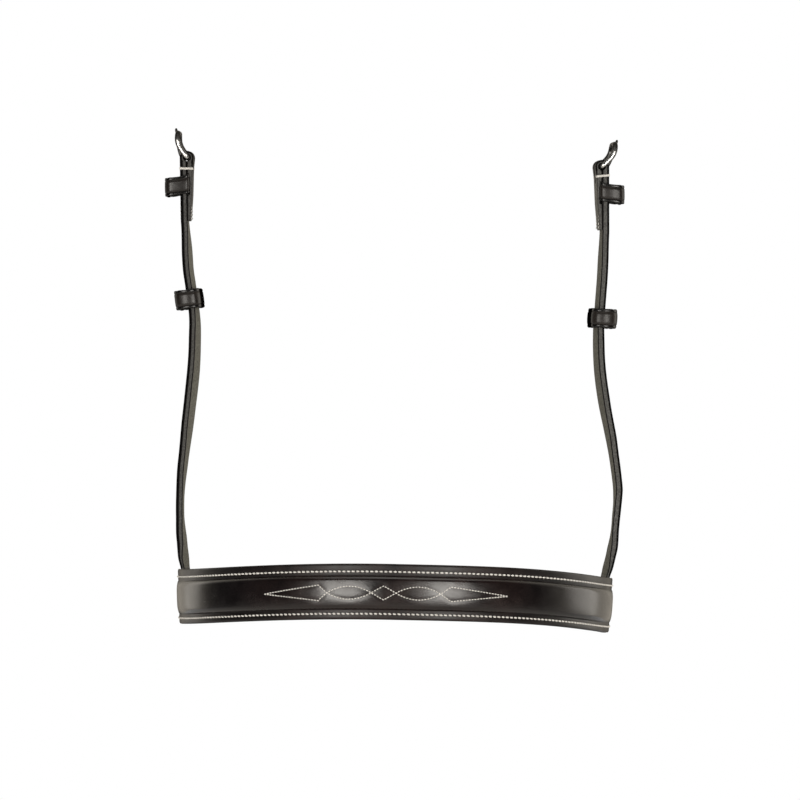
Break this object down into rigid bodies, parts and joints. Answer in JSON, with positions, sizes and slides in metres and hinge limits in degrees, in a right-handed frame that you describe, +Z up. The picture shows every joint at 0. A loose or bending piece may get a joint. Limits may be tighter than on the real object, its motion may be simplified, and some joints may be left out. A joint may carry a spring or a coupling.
{
  "type": "noseband",
  "caption": "Raised, fancy-stitched leather noseband: a padded front band on a hoop, two side hangers with buckles, keepers and sliding runners, and an unfastened rear buckle strap.",
  "frame": {"origin": "the middle of the lining's inner face, where the band rests on the nose", "axes": "+Z up along the hangers, -Y forward out of the band's front, +Y back into the hoop, +X the wearer's left and the right side of the front view"},
  "size_m": [0.2473, 0.1788, 0.2632],
  "materials": {
    "band_leather": "satin",
    "strap_leather": "satin",
    "keeper_leather": "satin",
    "lining_leather": "satin",
    "core_leather": "matte",
    "stainless_steel": "polished"
  },
  "bodies": {
    "noseband": {"face_leather": "band_leather", "raised_core": "core_leather", "lining_leather": "lining_leather", "left_hanger_strap": "strap_leather", "right_hanger_strap": "strap_leather", "left_hanger_keeper": "keeper_leather", "right_hanger_keeper": "keeper_leather", "rear_chape": "strap_leather", "rear_billet": "strap_leather", "rear_keeper": "keeper_leather"},
    "left buckle frame": {"left_buckle_frame": "stainless_steel"},
    "right buckle frame": {"right_buckle_frame": "stainless_steel"},
    "rear buckle frame": {"rear_buckle_frame": "stainless_steel"},
    "left buckle tongue": {"left_buckle_tongue": "stainless_steel"},
    "right buckle tongue": {"right_buckle_tongue": "stainless_steel"},
    "rear buckle tongue": {"rear_buckle_tongue": "stainless_steel"},
    "left runner": {"left_hanger_runner": "keeper_leather"},
    "right runner": {"right_hanger_runner": "keeper_leather"},
    "rear runner": {"rear_runner": "keeper_leather"}
  },
  "joints": [
    {"name": "left_buckle_hinge", "type": "hinge", "parent": "noseband", "child": "left buckle frame", "pos_m": [-0.11514, 0.10086, 0.22621], "axis": [-0.0262, -0.9997, -0.001], "range_deg": [-85, 28]},
    {"name": "left_tongue_hinge", "type": "hinge", "parent": "left buckle frame", "child": "left buckle tongue", "pos_m": [-0.11514, 0.10086, 0.22621], "axis": [-0.0262, -0.9997, -0.001], "range_deg": [0, 52]},
    {"name": "right_buckle_hinge", "type": "hinge", "parent": "noseband", "child": "right buckle frame", "pos_m": [0.10477, 0.10064, 0.22597], "axis": [-0.0785, 0.9969, -0.0018], "range_deg": [-85, 20]},
    {"name": "right_tongue_hinge", "type": "hinge", "parent": "right buckle frame", "child": "right buckle tongue", "pos_m": [0.10477, 0.10064, 0.22597], "axis": [-0.0785, 0.9969, -0.0018], "range_deg": [0, 52]},
    {"name": "rear_buckle_hinge", "type": "hinge", "parent": "noseband", "child": "rear buckle frame", "pos_m": [-0.03652, 0.16091, -0.00637], "axis": [0, 0, -1], "range_deg": [-25, 30]},
    {"name": "rear_tongue_hinge", "type": "hinge", "parent": "rear buckle frame", "child": "rear buckle tongue", "pos_m": [-0.03652, 0.16091, -0.00637], "axis": [0, 0, -1], "range_deg": [0, 52]},
    {"name": "left_runner_slide", "type": "slide", "parent": "noseband", "child": "left runner", "axis": [-0.1542, 0, 0.988], "range_m": [-0.02, 0.028]},
    {"name": "right_runner_slide", "type": "slide", "parent": "noseband", "child": "right runner", "axis": [0.0427, 0, 0.9991], "range_m": [-0.022, 0.036]},
    {"name": "rear_runner_slide", "type": "slide", "parent": "noseband", "child": "rear runner", "axis": [-1, 0, 0], "range_m": [-0.007, 0.018]}
  ]
}
